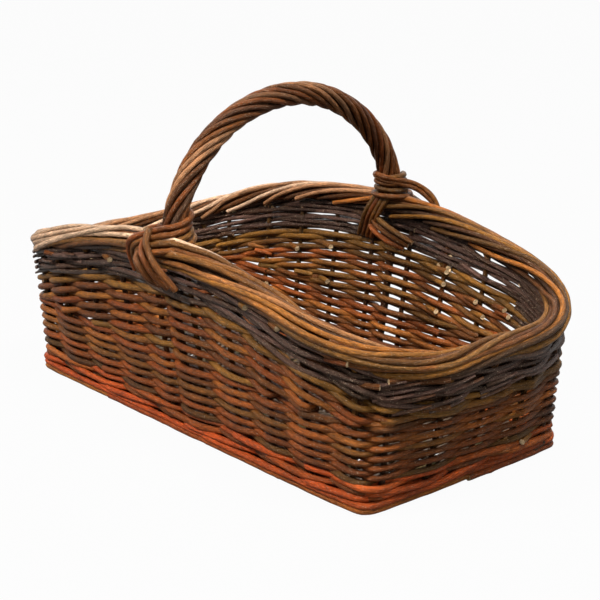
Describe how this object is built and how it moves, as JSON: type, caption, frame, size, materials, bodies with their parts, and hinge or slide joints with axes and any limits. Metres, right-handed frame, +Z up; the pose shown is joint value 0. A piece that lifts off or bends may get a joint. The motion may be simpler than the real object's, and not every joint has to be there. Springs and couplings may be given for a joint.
{
  "type": "asparagus basket",
  "caption": "Long low open basket of woven willow rods with an arched rim, rolled border and one roped bow handle across the middle, for gathering and carrying long produce.",
  "frame": {"origin": "middle of the base, on the surface the basket stands on", "axes": "+X along the length towards the front end, +Y across towards the far side, +Z up"},
  "size_m": [0.58, 0.3128, 0.3181],
  "materials": {
    "base_stick_willow": "satin willow bark",
    "base_weaver_willow": "satin willow bark",
    "stake_willow": "satin willow bark",
    "red_willow": "satin willow bark",
    "siding_willow": "satin willow bark",
    "packing_willow": "satin willow bark",
    "purple_willow": "satin willow bark",
    "border_willow": "satin willow bark",
    "handle_willow": "satin willow bark",
    "binding_willow": "satin willow bark"
  },
  "bodies": {
    "root": {"base_edge_sticks": "base_stick_willow", "base_runners": "base_stick_willow", "base_weavers": "base_weaver_willow", "front_end_stakes": "stake_willow", "far_side_stakes": "stake_willow", "back_end_stakes": "stake_willow", "near_side_stakes": "stake_willow", "upsett_wale_1": "red_willow", "upsett_wale_2": "red_willow", "upsett_wale_3": "red_willow", "upsett_wale_4": "red_willow", "upsett_wale_5": "red_willow", "siding_course_01": "siding_willow", "siding_course_02": "siding_willow", "siding_course_03": "siding_willow", "siding_course_04": "siding_willow", "siding_course_05": "siding_willow", "siding_course_06": "siding_willow", "siding_course_07": "siding_willow", "siding_course_08": "siding_willow", "siding_course_09": "siding_willow", "siding_course_10": "siding_willow", "siding_course_11": "siding_willow", "siding_course_12": "siding_willow", "siding_course_13": "siding_willow", "siding_course_14": "siding_willow", "near_packing_rods": "packing_willow", "far_packing_rods": "packing_willow", "upper_wale_1": "purple_willow", "upper_wale_2": "purple_willow", "upper_wale_3": "purple_willow", "upper_wale_4": "purple_willow", "upper_wale_5": "purple_willow", "border_core_rods": "border_willow", "handle_bow": "handle_willow", "handle_rope_rod_1": "handle_willow", "handle_rope_rod_2": "handle_willow", "handle_rope_rod_3": "handle_willow", "handle_rope_rod_4": "handle_willow", "handle_rope_rod_5": "handle_willow", "handle_rope_rod_6": "handle_willow", "handle_rope_rod_7": "handle_willow", "handle_rope_rod_8": "handle_willow", "handle_rope_rod_9": "handle_willow", "near_leg_winding": "binding_willow", "far_leg_winding": "binding_willow", "near_border_binding": "binding_willow", "far_border_binding": "binding_willow"}
  },
  "joints": []
}
